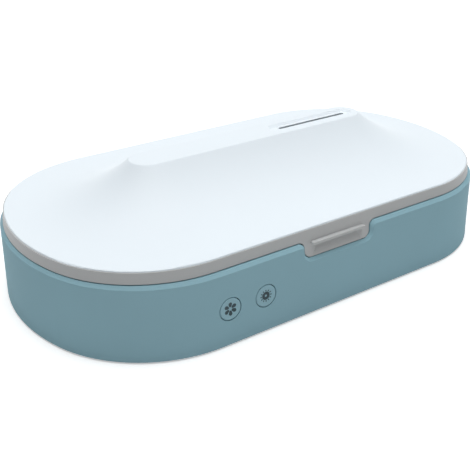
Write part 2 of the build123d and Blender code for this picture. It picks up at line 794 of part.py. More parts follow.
# ---------------------------------------------------------------- lid frame: grey band, tab and hinge knuckles
with BuildPart() as lid_frame:
    add(outline_slab(band_inset, frame_bottom, frame_top, degrees(band_tilt), lid_end_reach))
    add(outline_slab(band_inset + band_wall, flange_top, frame_top + 1), mode=Mode.SUBTRACT)
    add(outline_slab(flange_inset, frame_bottom - 1, frame_top), mode=Mode.SUBTRACT)
    add(finger_tab.part)
    # groove for the seal
    with BuildSketch(Plane.XY.offset(frame_bottom)):
        add(case_outline(seal_inset))
        add(case_outline(seal_inset + seal_width), mode=Mode.SUBTRACT)
    extrude(amount=seal_sunk, mode=Mode.SUBTRACT)
    # hinge knuckles with their arms
    for knuckle_x in (-hinge_x, hinge_x):
        with BuildSketch(Plane.YZ.offset(knuckle_x - knuckle_length / 2)):
            with Locations((hinge_y, hinge_z)):
                Circle(barrel_radius)
            with Locations((hinge_y - barrel_radius, hinge_z)):
                Rectangle(
                    barrel_radius - band_inset + hinge_inset,
                    frame_bottom - hinge_z + frame_flange / 2,
                    align=(Align.MIN, Align.MIN),
                )
        extrude(amount=knuckle_length)
        with BuildSketch(Plane.YZ.offset(knuckle_x - knuckle_length)):
            with Locations((hinge_y, hinge_z)):
                Circle(pin_radius + pin_running_gap)
        extrude(amount=2 * knuckle_length, mode=Mode.SUBTRACT)
    add(
        rods(lid_screw_points, screw_head_radius + screw_clear, frame_bottom, frame_bottom + lid_screw_head),
        mode=Mode.SUBTRACT,
    )
    add(
        rods(lid_screw_points, screw_radius + screw_clear, frame_bottom, flange_top),
        mode=Mode.SUBTRACT,
    )
    add(
        rods(magnet_points, magnet_radius + magnet_fit, flange_top - magnet_height, flange_top),
        mode=Mode.SUBTRACT,
    )

lid_frame.part.label = "lid_frame"
export_step(lid_frame.part, "parts/lid_frame.step")

# ---------------------------------------------------------------- light seal round the lid's underside
with BuildPart() as light_seal:
    with BuildSketch(Plane.XY.offset(frame_bottom + seal_sunk - seal_height)):
        add(case_outline(seal_inset + magnet_fit))
        add(case_outline(seal_inset + seal_width - magnet_fit), mode=Mode.SUBTRACT)
    extrude(amount=seal_height)

light_seal.part.label = "light_seal"
export_step(light_seal.part, "parts/light_seal.step")

# ---------------------------------------------------------------- lid screws
with BuildPart() as lid_screws:
    add(rods(lid_screw_points, screw_head_radius, frame_bottom, frame_bottom + lid_screw_head))
    add(
        rods(
            lid_screw_points,
            screw_radius,
            frame_bottom + lid_screw_head,
            frame_bottom + lid_screw_head + lid_screw_length,
        )
    )

lid_screws.part.label = "lid_screws"
export_step(lid_screws.part, "parts/lid_screws.step")

# ---------------------------------------------------------------- lid reflector: mirrored liner under the shell
with BuildPart() as lid_reflector:
    reflector_level = flange_top + reflector_wall
    reflector_form = (reflector_half_length, reflector_half_width, reflector_top, reflector_level, reflector_run)
    add(swept_ridge(*reflector_form, 0, flange_top))
    add(outline_slab(reflector_inset, flange_top, ridge_top), mode=Mode.INTERSECT)
    add(swept_ridge(*reflector_form, reflector_wall, flange_top - 1), mode=Mode.SUBTRACT)

lid_reflector.part.label = "lid_reflector"
export_step(lid_reflector.part, "parts/lid_reflector.step")

# ---------------------------------------------------------------- lid lamp and its holders
reflector_under = reflector_top - reflector_wall
lid_lamp_z = reflector_under - lid_lamp_drop
with BuildPart() as lid_lamp:
    add(lamp_tube(lid_lamp_length, lid_lamp_z))

lid_lamp.part.label = "lid_uv_lamp"
export_step(lid_lamp.part, "parts/lid_uv_lamp.step")

with BuildPart() as lid_holders:
    add(lamp_holders(lid_lamp_length, lid_lamp_z, reflector_under - lid_holder_height, lid_holder_height))

lid_holders.part.label = "lid_lamp_holders"
export_step(lid_holders.part, "parts/lid_lamp_holders.step")

# ---------------------------------------------------------------- scent cup under the slot, and its pad
with BuildPart() as scent_cup:
    with BuildSketch(Plane.XY.offset(cup_top - cup_depth)):
        with Locations((slot_x, 0)):
            SlotOverall(2 * slot_end, 2 * cup_half_width)
    extrude(amount=cup_depth)
    with BuildSketch(Plane.XY.offset(cup_top - cup_depth + cup_wall)):
        with Locations((slot_x, 0)):
            SlotOverall(2 * (slot_end - cup_wall), 2 * (cup_half_width - cup_wall))
    extrude(amount=cup_depth, mode=Mode.SUBTRACT)

scent_cup.part.label = "scent_cup"
export_step(scent_cup.part, "parts/scent_cup.step")

with BuildPart() as scent_pad:
    with BuildSketch(Plane.XY.offset(cup_top - cup_depth + cup_wall)):
        with Locations((slot_x, 0)):
            pad_inset = cup_wall + pad_gap
            SlotOverall(2 * (slot_end - pad_inset), 2 * (cup_half_width - pad_inset))
    extrude(amount=pad_height)

scent_pad.part.label = "scent_pad"
export_step(scent_pad.part, "parts/scent_pad.step")

# ---------------------------------------------------------------- buttons, each with the plunger of its switch
for button_name, centre_x in zip(("flower", "sun"), button_x):
    with BuildPart() as button:
        with BuildSketch(front_plane(stem_depth)):
            with Locations((centre_x, 0)):
                Circle(button_flange_radius)
        extrude(amount=button_flange)
        with BuildSketch(front_plane(stem_depth)):
            with Locations((centre_x, 0)):
                Circle(button_radius)
        extrude(amount=stem_depth + button_proud)
        fillet(button.faces().sort_by(Axis.Y)[0].edges(), button_edge)
        # shallow round dish for the fingertip
        with Locations(front_plane(button_dish - dish_ball - button_proud)):
            with Locations((centre_x, 0, 0)):
                Sphere(dish_ball, mode=Mode.SUBTRACT)
        with BuildSketch(front_plane(plunger_depth)):
            with Locations((centre_x, 0)):
                Circle(stem_radius)
        extrude(amount=stem_length)

    button.part.label = f"{button_name}_button"
    export_step(button.part, f"parts/{button_name}_button.step")

    with BuildPart() as plunger:
        with BuildSketch(front_plane(switch_front + plunger_sunk)):
            with Locations((centre_x, 0)):
                Circle(plunger_radius)
        extrude(amount=plunger_proud + plunger_sunk)

    plunger.part.label = f"{button_name}_switch_plunger"
    export_step(plunger.part, f"parts/{button_name}_switch_plunger.step")

# ---------------------------------------------------------------- switches, on the button board
with BuildPart() as switches:
    with BuildSketch(front_plane(button_board_front)):
        with Locations(*[(x, 0) for x in button_x]):
            Rectangle(switch_size, switch_size)
    extrude(amount=switch_depth)
    with BuildSketch(front_plane(switch_front + switch_bore)):
        with Locations(*[(x, 0) for x in button_x]):
            Circle(plunger_radius + plunger_gap)
    extrude(amount=switch_bore, mode=Mode.SUBTRACT)

switches.part.label = "switch_bodies"
export_step(switches.part, "parts/switch_bodies.step")

with BuildPart() as button_board:
    with BuildSketch(front_plane(button_board_front + button_board_thickness)):
        with Locations((button_middle, button_board_middle - board_rib / 2)):
            Rectangle(2 * (rib_half_span + board_groove), button_board_height - board_rib)
    extrude(amount=button_board_thickness)

button_board.part.label = "button_board"
export_step(button_board.part, "parts/button_board.step")

# ---------------------------------------------------------------- sensor that tells when the lid is shut
with BuildPart() as lid_sensor:
    with BuildSketch(front_plane(button_board_front)):
        with Locations((button_middle, sensor_rise - sensor_height)):
            Rectangle(sensor_width, sensor_height)
    extrude(amount=sensor_depth)

lid_sensor.part.label = "lid_sensor"
export_step(lid_sensor.part, "parts/lid_sensor.step")

# ---------------------------------------------------------------- main board and what is soldered to it
with BuildPart() as main_board:
    with BuildSketch(Plane.XY.offset(board_z)):
        with Locations((0, board_middle_y)):
            Rectangle(board_length, board_width)
        with Locations(*board_holes):
            Circle(screw_radius + screw_clear, mode=Mode.SUBTRACT)
    extrude(amount=board_thickness)

main_board.part.label = "main_board"
export_step(main_board.part, "parts/main_board.step")

with BuildPart() as board_screws:
    add(rods(board_holes, screw_radius, board_top - board_screw_length, board_top))
    add(rods(board_holes, board_screw_head_radius, board_top, board_top + board_screw_head))

board_screws.part.label = "board_screws"
export_step(board_screws.part, "parts/board_screws.step")

with BuildPart() as usb_socket:
    with BuildSketch(Plane.XZ.offset(-usb_mouth_y)):
        with Locations((0, usb_z)):
            SlotOverall(usb_width, usb_height)
    extrude(amount=usb_depth)
    with BuildSketch(Plane.XZ.offset(-usb_mouth_y)):
        with Locations((0, usb_z)):
            SlotOverall(usb_width - 2 * usb_sheet, usb_height - 2 * usb_sheet)
    extrude(amount=usb_depth - usb_back, mode=Mode.SUBTRACT)
    with BuildSketch(Plane.XZ.offset(usb_depth - usb_mouth_y)):
        with Locations((0, usb_z)):
            Rectangle(usb_tongue_width, usb_tongue_thickness)
    extrude(amount=-usb_back - usb_tongue_length)

usb_socket.part.label = "usb_c_socket"
export_step(usb_socket.part, "parts/usb_c_socket.step")

with BuildPart() as transformer:
    with BuildSketch(Plane.XY.offset(board_top)):
        with Locations((transformer_place[0], board_front + transformer_place[1])):
            Rectangle(transformer_core[0], transformer_core[1])
            with GridLocations(0, transformer_core[1] - transformer_slot, 1, 2):
                Rectangle(transformer_core[0] / 2, transformer_slot, mode=Mode.SUBTRACT)
    extrude(amount=transformer_core[2])

transformer.part.label = "lamp_transformer"
export_step(transformer.part, "parts/lamp_transformer.step")

with BuildPart() as capacitors:
    for place_x, from_back in capacitor_places:
        with BuildSketch(Plane.YZ.offset(place_x - capacitor_length / 2)):
            with Locations((board_back - from_back, board_top + capacitor_radius)):
                Circle(capacitor_radius)
        extrude(amount=capacitor_length)

capacitors.part.label = "capacitors"
export_step(capacitors.part, "parts/capacitors.step")

with BuildPart() as control_chip:
    with BuildSketch(Plane.XY.offset(board_top)):
        with Locations((chip_place[0], board_front + chip_place[1])):
            Rectangle(chip_size[0], chip_size[1])
    extrude(amount=chip_size[2])

control_chip.part.label = "control_chip"
export_step(control_chip.part, "parts/control_chip.step")

with BuildPart() as lamp_plugs:
    with BuildSketch(Plane.XY.offset(board_top)):
        with Locations(*[(x, board_back - from_back) for x, from_back in plug_places]):
            Rectangle(plug_size[0], plug_size[1])
    extrude(amount=plug_size[2])

lamp_plugs.part.label = "lamp_plugs"
export_step(lamp_plugs.part, "parts/lamp_plugs.step")
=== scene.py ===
from math import pi, radians

import bmesh
import bpy
from mathutils import Euler, Matrix, Vector


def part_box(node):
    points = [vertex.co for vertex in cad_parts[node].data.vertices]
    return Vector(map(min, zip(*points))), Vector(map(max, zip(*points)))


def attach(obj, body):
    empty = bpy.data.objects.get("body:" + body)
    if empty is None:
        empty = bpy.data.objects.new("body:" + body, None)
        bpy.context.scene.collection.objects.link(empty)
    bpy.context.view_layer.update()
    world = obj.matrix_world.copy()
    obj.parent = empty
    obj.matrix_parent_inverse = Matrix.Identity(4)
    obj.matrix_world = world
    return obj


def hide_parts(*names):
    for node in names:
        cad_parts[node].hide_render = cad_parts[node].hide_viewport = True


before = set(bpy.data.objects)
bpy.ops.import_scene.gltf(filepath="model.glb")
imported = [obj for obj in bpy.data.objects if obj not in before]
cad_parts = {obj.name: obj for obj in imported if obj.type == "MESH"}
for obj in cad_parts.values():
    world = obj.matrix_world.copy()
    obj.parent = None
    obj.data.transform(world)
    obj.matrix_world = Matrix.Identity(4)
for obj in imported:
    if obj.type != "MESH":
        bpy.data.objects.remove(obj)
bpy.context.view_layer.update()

# ------------------------------------------------------------------ camera, table and light
# The box stands on a plain pale table in a white room. Two large soft lamps hang high over it,
# one a little behind and one a little in front, and the room adds dim light from all sides.
scene = bpy.context.scene
scene.view_settings.view_transform = "Standard"

view_aim = Vector((-0.028790, -0.031170, 0.02605))
view_distance = 0.305311
view_turn = radians(-33.75)
view_rise = radians(27.28)
view_roll = -0.009
view_lens = 57.88

camera_data = bpy.data.cameras.new("view_camera")
camera_data.sensor_width = 36
camera_data.lens = view_lens
camera_data.clip_start = 0.01
camera = bpy.data.objects.new("view_camera", camera_data)
scene.collection.objects.link(camera)
view_rotation = Euler((pi / 2 - view_rise, 0, view_turn)).to_matrix() @ Matrix.Rotation(view_roll, 3, "Z")
view_place = view_aim + view_rotation @ Vector((0, 0, view_distance))
camera.matrix_world = Matrix.Translation(view_place) @ view_rotation.to_4x4()
scene.camera = camera


def hang_lamp(name, place, size, watts):
    """A square soft lamp that points at the box."""
    lamp_data = bpy.data.lights.new(name, "AREA")
    lamp_data.size = size
    lamp_data.energy = watts
    lamp = bpy.data.objects.new(name, lamp_data)
    scene.collection.objects.link(lamp)
    lamp.location = place
    lamp.rotation_euler = (-Vector(place)).to_track_quat("-Z", "Y").to_euler()


hang_lamp("back_lamp", place=(0.25, 0.5, 2.8), size=2.5, watts=51)
hang_lamp("front_lamp", place=(0.1, -0.45, 2.85), size=2.5, watts=35)


def seen_directly(nodes, links, dim, bright):
    """A strength that is bright for the camera, gloss and glass, and dim for all other light."""
    path = nodes.new("ShaderNodeLightPath")
    camera_or_gloss = nodes.new("ShaderNodeMath")
    camera_or_gloss.operation = "MAXIMUM"
    links.new(path.outputs["Is Camera Ray"], camera_or_gloss.inputs[0])
    links.new(path.outputs["Is Glossy Ray"], camera_or_gloss.inputs[1])
    or_glass = nodes.new("ShaderNodeMath")
    or_glass.operation = "MAXIMUM"
    links.new(camera_or_gloss.outputs[0], or_glass.inputs[0])
    links.new(path.outputs["Is Transmission Ray"], or_glass.inputs[1])
    strength = nodes.new("ShaderNodeMapRange")
    links.new(or_glass.outputs[0], strength.inputs["Value"])
    strength.inputs["To Min"].default_value = dim
    strength.inputs["To Max"].default_value = bright
    return strength.outputs["Result"]


room_fill = 0.14  # the room's light on the box, where 1 is white
table_span = 2.4
table_glow = 0.42  # lifts the table towards white where it is seen, and lights nothing
room = bpy.data.worlds.new("room")
scene.world = room
room.use_nodes = True
room_light = room.node_tree.nodes["Background"]
room_light.inputs["Color"].default_value = (1, 1, 1, 1)
room.node_tree.links.new(
    seen_directly(room.node_tree.nodes, room.node_tree.links, room_fill, 1.0), room_light.inputs["Strength"]
)

bpy.ops.object.select_all(action="DESELECT")
bpy.ops.mesh.primitive_plane_add(size=table_span)
table_top = bpy.context.object
table_top.name = "table_top"
table_paint = bpy.data.materials.new("table_paint")
table_paint.use_nodes = True
paint_nodes = table_paint.node_tree.nodes
paint_shader = paint_nodes["Principled BSDF"]
paint_shader.inputs["Base Color"].default_value = (0.9, 0.9, 0.9, 1)
paint_shader.inputs["Roughness"].default_value = 0.9
paint_shader.inputs["Specular IOR Level"].default_value = 0
paint_shader.inputs["Emission Color"].default_value = (1, 1, 1, 1)
table_paint.node_tree.links.new(
    seen_directly(paint_nodes, table_paint.node_tree.links, 0, table_glow), paint_shader.inputs["Emission Strength"]
)
table_top.data.materials.append(table_paint)


# ------------------------------------------------------------------ base shell
# The lower housing is one injection-moulded ABS part, coloured through in grey blue. Its mould is spark
# eroded, so that the outside has a very fine even grain and hardly shines. It is bevelled round the rim.
def linear(colour):
    """A colour as a screen shows it, 0 to 1, as the linear values that shaders take."""
    return tuple(c / 12.92 if c <= 0.04045 else ((c + 0.055) / 1.055) ** 2.4 for c in colour) + (1.0,)


def new_group(label, inputs, outputs):
    """An empty shader group with named sockets. Returns it with its input and output nodes."""
    group = bpy.data.node_groups.new(label, "ShaderNodeTree")
    for name, kind, value in inputs:
        socket = group.interface.new_socket(name, in_out="INPUT", socket_type=kind)
        socket.default_value = value
    for name, kind in outputs:
        group.interface.new_socket(name, in_out="OUTPUT", socket_type=kind)
    return group, group.nodes.new("NodeGroupInput"), group.nodes.new("NodeGroupOutput")


def mould_grain_group():
    """Fine mould grain and the slight clouding of coloured plastic, for every moulded piece."""
    group, given, result = new_group(
        "mould_grain",
        [
            ("Colour", "NodeSocketColor", (0.8, 0.8, 0.8, 1)),
            ("Clouding", "NodeSocketFloat", 0.02),
            ("Roughness", "NodeSocketFloat", 0.4),
            ("Grain per metre", "NodeSocketFloat", 2600.0),
        ],
        [("Colour", "NodeSocketColor"), ("Roughness", "NodeSocketFloat"), ("Height", "NodeSocketFloat")],
    )
    nodes, links = group.nodes, group.links
    place = nodes.new("ShaderNodeTexCoord")
    cloud = nodes.new("ShaderNodeTexNoise")
    cloud.inputs["Scale"].default_value = 38
    cloud.inputs["Detail"].default_value = 3
    links.new(place.outputs["Object"], cloud.inputs["Vector"])
    darkest = nodes.new("ShaderNodeMath")
    darkest.operation = "SUBTRACT"
    darkest.inputs[0].default_value = 1
    links.new(given.outputs["Clouding"], darkest.inputs[1])
    shade = nodes.new("ShaderNodeMapRange")
    shade.inputs["From Min"].default_value = 0.3
    shade.inputs["From Max"].default_value = 0.7
    links.new(cloud.outputs["Fac"], shade.inputs["Value"])
    links.new(darkest.outputs[0], shade.inputs["To Min"])
    clouded = nodes.new("ShaderNodeVectorMath")
    clouded.operation = "SCALE"
    links.new(given.outputs["Colour"], clouded.inputs[0])
    links.new(shade.outputs["Result"], clouded.inputs["Scale"])
    links.new(clouded.outputs["Vector"], result.inputs["Colour"])
    handled = nodes.new("ShaderNodeMath")
    handled.operation = "MULTIPLY_ADD"
    handled.inputs[1].default_value = 0.1
    links.new(cloud.outputs["Fac"], handled.inputs[0])
    links.new(given.outputs["Roughness"], handled.inputs[2])
    links.new(handled.outputs[0], result.inputs["Roughness"])
    grain = nodes.new("ShaderNodeTexNoise")
    grain.inputs["Detail"].default_value = 2
    links.new(place.outputs["Object"], grain.inputs["Vector"])
    links.new(given.outputs["Grain per metre"], grain.inputs["Scale"])
    links.new(grain.outputs["Fac"], result.inputs["Height"])
    return group


mould_grain = mould_grain_group()


def skin_material(name, group, values, bump_strength, bump_depth):
    """A material whose colour, roughness and relief come from a shader group."""
    material = bpy.data.materials.new(name)
    material.use_nodes = True
    nodes, links = material.node_tree.nodes, material.node_tree.links
    shader = nodes["Principled BSDF"]
    skin = nodes.new("ShaderNodeGroup")
    skin.node_tree = group
    for socket, value in values.items():
        skin.inputs[socket].default_value = value
    links.new(skin.outputs["Colour"], shader.inputs["Base Color"])
    links.new(skin.outputs["Roughness"], shader.inputs["Roughness"])
    bump = nodes.new("ShaderNodeBump")
    bump.inputs["Strength"].default_value = bump_strength
    bump.inputs["Distance"].default_value = bump_depth
    links.new(skin.outputs["Height"], bump.inputs["Height"])
    links.new(bump.outputs["Normal"], shader.inputs["Normal"])
    return material, shader


def moulded_plastic(name, colour, roughness, clouding=0.03, grain=2600.0, grain_depth=0.00002, gloss=0.5):
    """Injection-moulded plastic. gloss is the strength of its reflection."""
    values = {"Colour": linear(colour), "Clouding": clouding, "Roughness": roughness, "Grain per metre": grain}
    material, shader = skin_material(name, mould_grain, values, 0.3, grain_depth)
    shader.inputs["IOR"].default_value = 1.5
    shader.inputs["Specular IOR Level"].default_value = gloss
    return material


def coat_node(material, *names):
    """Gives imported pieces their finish."""
    for name in names:
        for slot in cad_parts[name].material_slots:
            slot.material = material


shell_blue = (0.595, 0.745, 0.794)
coat_node(moulded_plastic("blue_plastic", shell_blue, 0.56, gloss=0.04), "base_shell")


# ------------------------------------------------------------------ hinge pins
# Two ground steel pins, pushed through the lugs of the shell and the knuckles of the lid. Grinding leaves
# fine rings round them.
def ground_metal_group():
    """Fine tool lines across the X axis, and the small shade changes of plated metal."""
    group, given, result = new_group(
        "ground_metal",
        [
            ("Colour", "NodeSocketColor", (0.6, 0.6, 0.6, 1)),
            ("Roughness", "NodeSocketFloat", 0.3),
            ("Lines per metre", "NodeSocketFloat", 5000.0),
        ],
        [("Colour", "NodeSocketColor"), ("Roughness", "NodeSocketFloat"), ("Height", "NodeSocketFloat")],
    )
    nodes, links = group.nodes, group.links
    place = nodes.new("ShaderNodeTexCoord")
    stretch = nodes.new("ShaderNodeMapping")
    stretch.inputs["Scale"].default_value = (1, 0.06, 0.06)
    links.new(place.outputs["Object"], stretch.inputs["Vector"])
    lines = nodes.new("ShaderNodeTexNoise")
    lines.inputs["Detail"].default_value = 3
    links.new(stretch.outputs["Vector"], lines.inputs["Vector"])
    links.new(given.outputs["Lines per metre"], lines.inputs["Scale"])
    links.new(lines.outputs["Fac"], result.inputs["Height"])
    dull = nodes.new("ShaderNodeMath")
    dull.operation = "MULTIPLY_ADD"
    dull.inputs[1].default_value = 0.16
    links.new(lines.outputs["Fac"], dull.inputs[0])
    links.new(given.outputs["Roughness"], dull.inputs[2])
    links.new(dull.outputs[0], result.inputs["Roughness"])
    stain = nodes.new("ShaderNodeTexNoise")
    stain.inputs["Scale"].default_value = 260
    links.new(place.outputs["Object"], stain.inputs["Vector"])
    shade = nodes.new("ShaderNodeMapRange")
    shade.inputs["To Min"].default_value = 0.86
    links.new(stain.outputs["Fac"], shade.inputs["Value"])
    stained = nodes.new("ShaderNodeVectorMath")
    stained.operation = "SCALE"
    links.new(given.outputs["Colour"], stained.inputs[0])
    links.new(shade.outputs["Result"], stained.inputs["Scale"])
    links.new(stained.outputs["Vector"], result.inputs["Colour"])
    return group


ground_metal = ground_metal_group()


def plated_metal(name, colour, roughness, lines=5000.0):
    """Ground or plated metal. lines is the number of its tool lines in a metre."""
    values = {"Colour": linear(colour), "Roughness": roughness, "Lines per metre": lines}
    material, shader = skin_material(name, ground_metal, values, 0.25, 0.00001)
    shader.inputs["Metallic"].default_value = 1
    return material


screw_steel = plated_metal("screw_steel", (0.62, 0.62, 0.63), 0.26)
coat_node(screw_steel, "hinge_pins")


# ------------------------------------------------------------------ main board
# A green glass-fibre board on four standoffs, with copper tracks under the solder mask. It carries a ferrite
# lamp transformer, two capacitors in aluminium cans, a moulded chip, three nylon plugs and the USB-C socket.
def solder_mask_group():
    """Copper tracks that run in steps under a solder mask, slightly raised and lighter."""
    group, given, result = new_group(
        "solder_mask",
        [("Mask", "NodeSocketColor", (0, 0.1, 0.03, 1)), ("Track", "NodeSocketColor", (0.05, 0.3, 0.1, 1))],
        [("Colour", "NodeSocketColor"), ("Roughness", "NodeSocketFloat"), ("Height", "NodeSocketFloat")],
    )
    nodes, links = group.nodes, group.links
    place = nodes.new("ShaderNodeTexCoord")
    tracks = nodes.new("ShaderNodeTexBrick")
    tracks.inputs["Scale"].default_value = 160
    tracks.inputs["Mortar Size"].default_value = 0.035
    tracks.inputs["Color1"].default_value = (0, 0, 0, 1)
    tracks.inputs["Color2"].default_value = (0, 0, 0, 1)
    tracks.inputs["Mortar"].default_value = (1, 1, 1, 1)
    links.new(place.outputs["Object"], tracks.inputs["Vector"])
    mix = nodes.new("ShaderNodeMix")
    mix.data_type = "RGBA"
    links.new(tracks.outputs["Color"], mix.inputs["Factor"])
    links.new(given.outputs["Mask"], mix.inputs["A"])
    links.new(given.outputs["Track"], mix.inputs["B"])
    links.new(mix.outputs["Result"], result.inputs["Colour"])
    links.new(tracks.outputs["Fac"], result.inputs["Height"])
    smooth = nodes.new("ShaderNodeMapRange")
    smooth.inputs["To Min"].default_value = 0.3
    smooth.inputs["To Max"].default_value = 0.2
    links.new(tracks.outputs["Fac"], smooth.inputs["Value"])
    links.new(smooth.outputs["Result"], result.inputs["Roughness"])
    return group


board_colours = {"Mask": linear((0.03, 0.27, 0.14)), "Track": linear((0.1, 0.42, 0.22))}
circuit_board, _ = skin_material("circuit_board", solder_mask_group(), board_colours, 0.5, 0.00003)
coat_node(circuit_board, "main_board", "button_board")
coat_node(moulded_plastic("black_epoxy", (0.07, 0.07, 0.075), 0.5, grain=1800.0), "control_chip", "lid_sensor")
ferrite = moulded_plastic("ferrite", (0.16, 0.155, 0.15), 0.55, grain=900.0, grain_depth=0.00005)
coat_node(ferrite, "lamp_transformer")
coat_node(moulded_plastic("cream_nylon", (0.88, 0.86, 0.78), 0.45), "lamp_plugs")
coat_node(plated_metal("can_aluminium", (0.8, 0.81, 0.82), 0.3), "capacitors")
coat_node(plated_metal("socket_steel", (0.78, 0.78, 0.79), 0.22), "usb_c_socket")


# ------------------------------------------------------------------ board screws
# Four cold-headed steel screws hold the board down on its standoffs. Each has a pan head with a rounded edge
# and a stamped cross recess, and a plain shank that cuts its own thread in the plastic.
def start_piece():
    """Leaves nothing selected, so that the next operators act on the new primitive alone."""
    bpy.ops.object.select_all(action="DESELECT")


def pick_faces(piece, wanted):
    """Selects the faces for which wanted(face) is true. The piece is in edit mode."""
    bpy.ops.mesh.select_all(action="DESELECT")
    form = bmesh.from_edit_mesh(piece.data)
    for face in form.faces:
        face.select_set(wanted(face))
    bmesh.update_edit_mesh(piece.data)


def settle(piece):
    """Puts a piece's place and turn into its mesh."""
    bpy.ops.object.select_all(action="DESELECT")
    piece.select_set(True)
    bpy.context.view_layer.objects.active = piece
    bpy.ops.object.transform_apply(location=True, rotation=True, scale=True)


def copy_to(piece, places):
    """Copies a piece to each (place, turn), each copy with its own mesh, and joins the copies."""
    copies = []
    for place, turn in places:
        copy = piece.copy()
        copy.data = piece.data.copy()
        scene.collection.objects.link(copy)
        copy.location = place
        copy.rotation_euler = turn
        settle(copy)
        copies.append(copy)
    bpy.data.objects.remove(piece)
    bpy.ops.object.select_all(action="DESELECT")
    for copy in copies:
        copy.select_set(True)
    bpy.context.view_layer.objects.active = copies[0]
    if len(copies) > 1:
        bpy.ops.object.join()
    return copies[0]


def sign_off(piece, name, body, material):
    """Names a finished piece, gives it its material and lets it move with a body."""
    piece.name = name
    piece.data.name = name
    piece.data.materials.clear()
    piece.data.materials.append(material)
    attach(piece, body)
    return piece


recess_span = 0.0019
recess_width = 0.00042
recess_depth = 0.0006
recess_narrowing = 0.55  # the recess's size at its floor, to that at its mouth
head_rounding = 0.35  # of the head's height
screw_shank_radius = 0.00098
tip_share = 0.15  # of the shank's length
tip_narrowing = 0.55


def cross_screw(head_radius, head_height, shank_length):
    """One screw, its head's outer face at height 0 and facing down, its shank pointing up."""
    start_piece()
    middle = head_height / 2
    bpy.ops.mesh.primitive_cylinder_add(vertices=32, radius=head_radius, depth=head_height, location=(0, 0, middle))
    screw = bpy.context.object
    settle(screw)
    bpy.ops.object.mode_set(mode="EDIT")
    bpy.ops.mesh.select_mode(type="FACE")
    pick_faces(screw, lambda face: face.normal.z < -0.9)
    bpy.ops.mesh.region_to_loop()
    bpy.ops.mesh.bevel(offset=head_rounding * head_height, segments=4, affect="EDGES")
    bpy.ops.mesh.select_mode(type="FACE")
    pick_faces(screw, lambda face: face.normal.z > 0.9)
    bpy.ops.mesh.inset(thickness=head_radius - screw_shank_radius)
    for share in (1 - tip_share, tip_share):
        bpy.ops.mesh.extrude_region_move(TRANSFORM_OT_translate={"value": (0, 0, share * shank_length)})
    bpy.ops.transform.resize(value=(tip_narrowing, tip_narrowing, 1))
    bpy.ops.object.mode_set(mode="OBJECT")
    for turn in (0, pi / 2):
        start_piece()
        bpy.ops.mesh.primitive_cube_add(size=1, scale=(recess_span, recess_width, 2 * recess_depth))
        blade = bpy.context.object
        blade.rotation_euler.z = turn
        settle(blade)
        bpy.ops.object.mode_set(mode="EDIT")
        bpy.ops.mesh.select_mode(type="FACE")
        pick_faces(blade, lambda face: face.normal.z > 0.9)
        bpy.ops.transform.resize(value=(recess_narrowing, recess_narrowing, 1))
        bpy.ops.object.mode_set(mode="OBJECT")
        recess = screw.modifiers.new("recess", "BOOLEAN")
        recess.operation = "DIFFERENCE"
        recess.object = blade
        start_piece()
        screw.select_set(True)
        bpy.context.view_layer.objects.active = screw
        bpy.ops.object.modifier_apply(modifier=recess.name)
        bpy.data.objects.remove(blade)
    bpy.ops.object.shade_smooth_by_angle(angle=radians(35))
    return screw


def head_middles(node, level):
    """The middle of each screw head in a node, from the corners of its rim at one height."""
    same_height = 0.00001
    same_head = 0.006
    heads = []
    for corner in (v.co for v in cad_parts[node].data.vertices if abs(v.co.z - level) < same_height):
        near = [head for head in heads if (head[0] - corner).length < same_head]
        if near:
            near[0].append(corner)
        else:
            heads.append([corner])
    middles = []
    for head in heads:
        across = [c.x for c in head]
        deep = [c.y for c in head]
        middles.append(Vector(((min(across) + max(across)) / 2, (min(deep) + max(deep)) / 2, level)))
    return middles


board_head_radius = 0.0017
board_head_height = 0.001
board_low, board_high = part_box("board_screws")
board_screw_set = copy_to(
    cross_screw(board_head_radius, board_head_height, board_high.z - board_low.z - board_head_height),
    [(place, (pi, 0, 0)) for place in head_middles("board_screws", board_high.z)],
)
sign_off(board_screw_set, "cross_board_screws", "base", screw_steel)
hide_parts("board_screws")

# ------------------------------------------------------------------ USB-C contacts
# Twelve gold-plated contacts lie in each face of the socket's tongue, and wipe along the plug's springs.
# They are punched strips, set flush in the moulding with their edges rounded over.
contact_pitch = 0.0005
contact_count = 12
contact_width = 0.00026
contact_length = 0.0032
contact_thickness = 0.00008
contact_rounding = 0.00003
contact_setback = 0.0002  # from the tongue's tip
tongue_half_thickness = 0.00035
tongue_tip_depth = 0.0019  # from the socket's mouth
socket_low, socket_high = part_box("usb_c_socket")
start_piece()
bpy.ops.mesh.primitive_cube_add(size=1, scale=(contact_width, contact_length, contact_thickness))
contact = bpy.context.object
settle(contact)
bpy.ops.object.mode_set(mode="EDIT")
bpy.ops.mesh.select_all(action="SELECT")
bpy.ops.mesh.bevel(offset=contact_rounding, segments=2, affect="EDGES")
bpy.ops.object.mode_set(mode="OBJECT")
contact_y = socket_high.y - tongue_tip_depth - contact_setback - contact_length / 2
contact_z = (socket_low.z + socket_high.z) / 2
contact_places = [
    ((contact_pitch * (i - (contact_count - 1) / 2), contact_y, contact_z + side * tongue_half_thickness), (0, 0, 0))
    for i in range(contact_count)
    for side in (-1, 1)
]
contacts = copy_to(contact, contact_places)
contact_gold = plated_metal("contact_gold", (0.9, 0.75, 0.42), 0.2)
sign_off(contacts, "usb_contacts", "base", contact_gold)

# ------------------------------------------------------------------ switches and buttons
# The buttons are grey-blue ABS discs with a shallow dish for the fingertip, and their marks are pad printed
# in dark grey. Behind each one a small black switch with a nylon plunger is soldered to the button board.
coat_node(moulded_plastic("button_plastic", shell_blue, 0.46, gloss=0.16), "flower_button", "sun_button")
coat_node(
    moulded_plastic("black_nylon", (0.08, 0.08, 0.085), 0.45),
    "switch_bodies", "flower_switch_plunger", "sun_switch_plunger",
)


